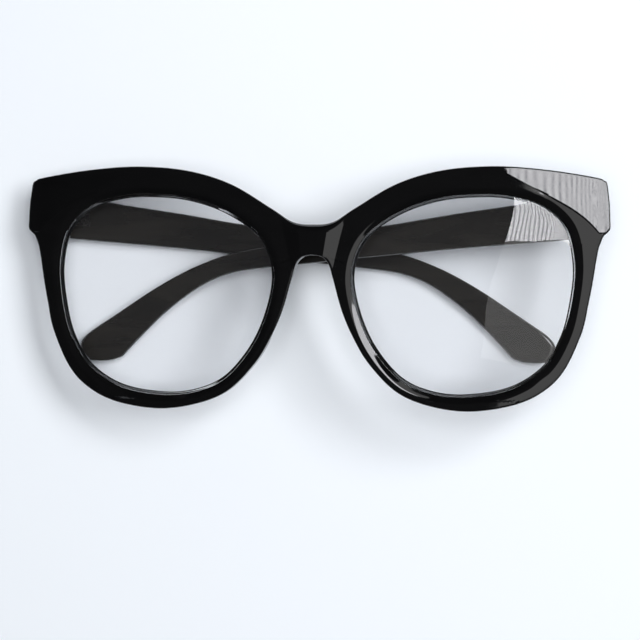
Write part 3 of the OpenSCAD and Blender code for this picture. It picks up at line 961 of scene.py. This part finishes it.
@dataclass(frozen=True)
class Temple:
    """A temple with its flat inner and outer faces, its curved-down end and its blunt tip.

    It is drawn folded flat behind the front, from the pin of the hinge with positive x towards
    negative x, and then folded by a small angle about the pin.
    """

    lie: Lie
    side: Side
    edge: float = 0.9
    edge_wide: float = 1.4
    tip_l: float = 30.0
    cap: float = 0.15
    cap_turns: tuple[float, ...] = (25.0, 45.0, 65.0, 80.0)
    root_inset: float = 0.9
    edge_share: float = 0.45
    corner_steps: int = 5
    flat_ends: tuple[float, float] = (0.1, 0.9)
    steps: int = 6
    line_steps: int = 2

    def line(self) -> np.ndarray:
        """Middle line as one curve: distance from the pin, height, width and added turn.

        The table gives shares of the reach, of the drop, of the root's and of the tip's extra
        width over the waist, and the added turn in degrees.
        """
        arm, pin_off = self.lie.arm, self.lie.front.pin_off
        shape = np.array([
            [0.108, 0.053, 0.8, 0, 0], [0.242, 0.105, 0.62, 0, 0], [0.377, 0.167, 0.43, 0, 0],
            [0.5, 0.224, 0.25, 0, 0], [0.608, 0.276, 0.09, 0, 0], [0.685, 0.318, 0, 0, 0],
            [0.742, 0.385, 0, 0, 0], [0.792, 0.477, 0, 0.15, 0], [0.846, 0.602, 0, 0.37, 0],
            [0.9, 0.753, 0, 0.69, 0], [0.933, 0.841, 0, 0.98, -17], [0.955, 0.904, 0, 1.27, -17],
            [0.96, 0.952, 0, 0.62, 6], [0.961, 0.979, 0, -0.24, 0]])
        width = (arm.waist_h + shape[:, 2] * (arm.root_h - arm.waist_h)
                 + shape[:, 3] * (arm.tip_h - arm.waist_h))
        stations = np.vstack([
            [-pin_off, 0, arm.root_h, 0],
            np.column_stack([shape[:, 0] * arm.reach, -shape[:, 1] * arm.drop, width,
                             shape[:, 4]])])
        before = np.array([-pin_off - arm.square_l * 0.4, arm.drop * 0.05, arm.root_h, 0])
        return open_curve(stations, self.line_steps, before, 2 * stations[-1] - stations[-2])

    def edges(self) -> tuple[np.ndarray, np.ndarray]:
        """Upper and lower edge, each one curve through the ends of the sections' spans.

        A span stands square across the line except near the hinge, where it turns to stand
        square to the front, and at the tip, where the stations turn it on.

        Returns:
            The two edges: distance from the pin and height, one row for each section.
        """
        line = self.line()
        run = np.gradient(line[:, :2], axis=0)
        turn = (np.arctan2(run[:, 1], run[:, 0]) * ease(line[:, 0] / self.lie.arm.square_l)
                + np.radians(line[:, 3]))
        half = np.column_stack([-np.sin(turn), np.cos(turn)]) * line[:, 2:3] / 2
        upper, lower = (self.fair(p) for p in (line[:, :2] + half, line[:, :2] - half))
        return upper, lower

    def fair(self, p: np.ndarray) -> np.ndarray:
        """Smooth curve close to the points of an edge.

        Near the tip each point is moved twice to a quarter of its two neighbours' sum
        plus half of itself, before the curve is laid through them.
        """
        near_tip = ease((p[1:-1, :1] - self.lie.arm.reach) / self.tip_l + 1)
        for _ in range(2):
            p = p.copy()
            p[1:-1] += near_tip * ((p[:-2] + p[2:]) / 4 - p[1:-1] / 2)
        return open_curve(p, self.steps, 2 * p[0] - p[1], 2 * p[-1] - p[-2])

    def sections(self) -> np.ndarray:
        """Rounded sections along the temple: rectangles with parabolic corners.

        Returns:
            Points (stations, points of a section, 3) in the frame of the pin.
        """
        arm, pin_off = self.lie.arm, self.lie.front.pin_off
        upper, lower = self.edges()
        line, across = (upper + lower) / 2, unit(upper - lower)
        half = np.linalg.norm(upper - lower, axis=1) / 2
        far = np.maximum(0, line[:, 0] - arm.full_l) / (arm.reach - arm.full_l)
        outer = np.full_like(half, pin_off + arm.root_t)
        inner = outer - arm.root_t - (arm.tip_t - arm.root_t) * far
        towards_tip = ease((line[:, 0] - arm.reach) / self.tip_l + 1)
        e = np.minimum(self.edge + (self.edge_wide - self.edge) * towards_tip, half / 2)
        e = np.minimum(e, (outer - inner) * self.edge_share)[:, None]
        corners = np.stack([np.stack(pair, axis=-1) for pair in (
            (-half, outer), (half, outer), (half, inner), (-half, inner))])
        way = np.sign(np.roll(corners, -1, axis=0) - corners)
        before, after = corners - np.roll(way, 1, axis=0) * e, corners + way * e
        ahead = np.roll(before, -1, axis=0)
        flats = after[..., None, :] + (ahead - after)[..., None, :] * np.array(
            self.flat_ends)[:, None]
        section = np.concatenate([
            part for k in range(4) for part in (
                arc(before[k], corners[k], after[k], self.corner_steps), flats[k])], axis=1)
        c, w = section[..., 0], section[..., 1]
        along = line[:, 0:1] + across[:, 0:1] * c
        sine, cosine = math.sin(math.radians(arm.splay)), math.cos(math.radians(arm.splay))
        along[0] = -(pin_off - arm.end_gap - w[0] * sine) / cosine
        return np.stack([-along, line[:, 1:2] + across[:, 1:2] * c, -w], axis=-1)

    def build(self) -> bpy.types.Object:
        """Makes the temple and closes both of its ends."""
        rings = self.sections()
        middle = rings.mean(axis=1, keepdims=True)
        root = [rings[:1], middle[:1] + (rings[:1] - middle[:1]) * self.root_inset,
                middle[:1] + 0 * rings[:1]]
        ahead = unit(middle[-1:] - middle[-3:-2])
        tip = [middle[-1:] + (rings[-1:] - middle[-1:]) * math.cos(a)
               + ahead * self.cap * math.sin(a) for a in np.radians(self.cap_turns)]
        point = middle[-1:] + ahead * self.cap + 0 * rings[-1:]
        rings = np.concatenate(root[::-1] + [rings[1:]] + tip + [point])
        placed = tilt(rings, self.lie.fold_sine(self.side)) + self.lie.front.pin
        quads = grid_faces(*rings.shape[:2], False, True)
        points = self.lie.down(placed.reshape(-1, 3), self.side)
        return add_mesh(f"{self.side.word}_temple_arm", points, quads, self.side is Side.RIGHT)


@dataclass(frozen=True)
class Sheet:
    """A level rectangle of the studio: its middle, its size and how far it is turned."""

    name: str
    middle: tuple[float, float, float]
    size: tuple[float, float]
    turn: float = 0.0

    def build(self, finish: Finish) -> bpy.types.Object:
        """Makes the sheet in one finish."""
        (w, h), angle = self.size, math.radians(self.turn)
        corners = np.array([[-w, -h], [w, -h], [w, h], [-w, h]]) / 2
        spin = np.array([[math.cos(angle), math.sin(angle)], [-math.sin(angle), math.cos(angle)]])
        points = np.column_stack([corners @ spin, np.zeros(4)]) + np.array(self.middle)
        sheet = add_mesh(self.name, points, np.array([[0, 1, 2, 3]]))
        coat(sheet, finish.build())
        return sheet


@dataclass(frozen=True)
class Studio:
    """Pale floor, a window with slats to the upper right, a soft lamp overhead, and the camera.

    The window with its slats is what polished surfaces mirror; the daylight sheet before it is
    the soft light that comes from it.
    """

    camera_at: tuple[float, float, float] = (2.1, -18.3, 500.0)
    camera_turn: float = 0.37
    focal: float = 107.4
    floor: Sheet = Sheet("floor", (0.0, 0.0, -0.02), (8000.0, 8000.0))
    window: Sheet = Sheet("window", (650.0, 397.0, 1000.0), (690.0, 470.0), -8.5)
    daylight: Sheet = Sheet("daylight", (700.0, 330.0, 995.0), (660.0, 800.0), 25.0)
    lit_wall: Sheet = Sheet("lit_wall", (527.0, 380.0, 1005.0), (450.0, 1360.0), -8.5)
    overhead: Sheet = Sheet("overhead_lamp", (0.0, 30.0, 1000.0), (520.0, 520.0))
    window_light: float = 15.2
    daylight_light: float = 7.7
    wall_light: float = 1.4
    overhead_light: float = 5.7
    fill: float = 0.12
    slat_mm: float = 20.0
    sensor_mm: float = 36.0

    def light(self) -> None:
        """Makes the window, its daylight, the lit wall beside it and the lamp overhead."""
        window = self.window.build(Glow("window_light", self.window_light, self.slat_mm))
        wall = self.lit_wall.build(Glow("wall_light", self.wall_light))
        daylight = self.daylight.build(Glow("daylight", self.daylight_light))
        lamp = self.overhead.build(Glow("lamp_light", self.overhead_light))
        for card in (window, wall, daylight, lamp):
            card.visible_camera = False
            card.visible_transmission = False
        for mirrored in (window, wall):
            mirrored.visible_diffuse = False
        for soft in (daylight, lamp):
            soft.visible_glossy = False

    def room(self) -> None:
        """Makes the surroundings: a dim room for mirrored rays, an even fill for matte ones."""
        world = bpy.data.worlds.new("room")
        bpy.context.scene.world = world
        world.use_nodes = True
        tree = world.node_tree
        tree.nodes.clear()
        way = add_node(tree, "ShaderNodeTexCoord").outputs["Generated"]
        parts = add_node(tree, "ShaderNodeSeparateXYZ", {"Vector": way})
        room = ramp(tree, parts.outputs["Z"], (0.0, "#9a9ca2"), (0.12, "#3c3d42"),
                    (0.6, "#3c3d41"), (1.0, "#535458"))
        mirrored = add_node(tree, "ShaderNodeBackground", {"Color": room})
        pale = add_node(tree, "ShaderNodeBackground", {"Color": hex_colour("#f6f9fd")})
        even = add_node(tree, "ShaderNodeBackground", {
            "Color": hex_colour("#f0f5ff"), "Strength": self.fill})
        rays = add_node(tree, "ShaderNodeLightPath")
        bounced = add_node(tree, "ShaderNodeMath", {
            0: rays.outputs["Is Glossy Ray"], 1: rays.outputs["Is Transmission Ray"]},
            operation="MAXIMUM")
        lit = add_node(tree, "ShaderNodeMixShader", {
            0: bounced.outputs[0], 1: even.outputs[0], 2: mirrored.outputs[0]})
        shown = add_node(tree, "ShaderNodeMixShader", {
            0: rays.outputs["Is Camera Ray"], 1: lit.outputs[0], 2: pale.outputs[0]})
        add_node(tree, "ShaderNodeOutputWorld", {"Surface": shown.outputs[0]})

    def camera(self) -> None:
        """Makes the camera, which looks straight down at the photo's angle."""
        camera = bpy.data.cameras.new("camera")
        camera.lens = self.focal
        camera.sensor_width = self.sensor_mm
        camera.clip_start, camera.clip_end = 0.01, 50.0
        holder = bpy.data.objects.new("camera", camera)
        holder.location = [c * MM for c in self.camera_at]
        holder.rotation_euler = (0.0, 0.0, math.radians(self.camera_turn))
        bpy.context.scene.collection.objects.link(holder)
        bpy.context.scene.camera = holder
        bpy.context.scene.view_settings.view_transform = "Standard"

    def build(self) -> None:
        """Makes the floor, the lights, the surroundings and the camera."""
        self.floor.build(PalePaper())
        self.light()
        self.room()
        self.camera()


def dress(piece: bpy.types.Object, body: str, slot: str, *finishes: bpy.types.Material) -> None:
    """Gives a piece its finishes and its body, and reports it."""
    coat(piece, *finishes)
    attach(piece, body)
    log.info("%s: %d faces, rides on %s", piece.name, len(piece.data.polygons), body)


def main() -> None:
    """Builds the pieces in order and dresses them."""
    logging.basicConfig(level=logging.INFO, format="%(message)s")
    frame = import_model()
    form = FrontForm()
    lie = Lie(form, ArmForm())

    black = MouldedPlastic(
        "polished_black_polycarbonate", "#040404", "#070707", (0.03, 0.07)).build()
    smoke = MouldedPlastic("smoke_black_polycarbonate", "#1c1b19", "#2a2825", (0.06, 0.12)).build()
    clear, ground = ClearLens().build(), GroundEdge().build()
    # Both nickel silver colours are darker than bare nickel silver: painted shade for the hinges,
    # which lie in shade under the front.
    nickel = HingeMetal("stamped_nickel_silver", "#8c8983", "#63615c", (0.2, 0.34)).build()
    steel = HingeMetal("turned_steel", "#c4c5c9", "#96979b", (0.16, 0.3)).build()

    front = Front(form, lie).build()
    dress(front, "front", "frame_plastic", black)
    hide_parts("front_frame")

    for side in Side:
        pane = Lens(form, lie, side).build()
        dress(pane, "front", "lens", clear, ground)
        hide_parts(f"{side.word}_lens")
        arm = Temple(lie, side).build()
        dress(arm, f"{side.word}_arm", "temple_plastic", smoke)
        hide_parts(f"{side.word}_temple")
        for node, finish in (("front_hinge", nickel), ("temple_hinge", nickel), ("screw", steel)):
            metal = frame["nodes"][f"{side.word}_{node}"]
            coat(metal, finish)
            log.info("%s: packed solid in %s", metal.name, finish.name)

    Studio().build()


if __name__ == "__main__":
    main()
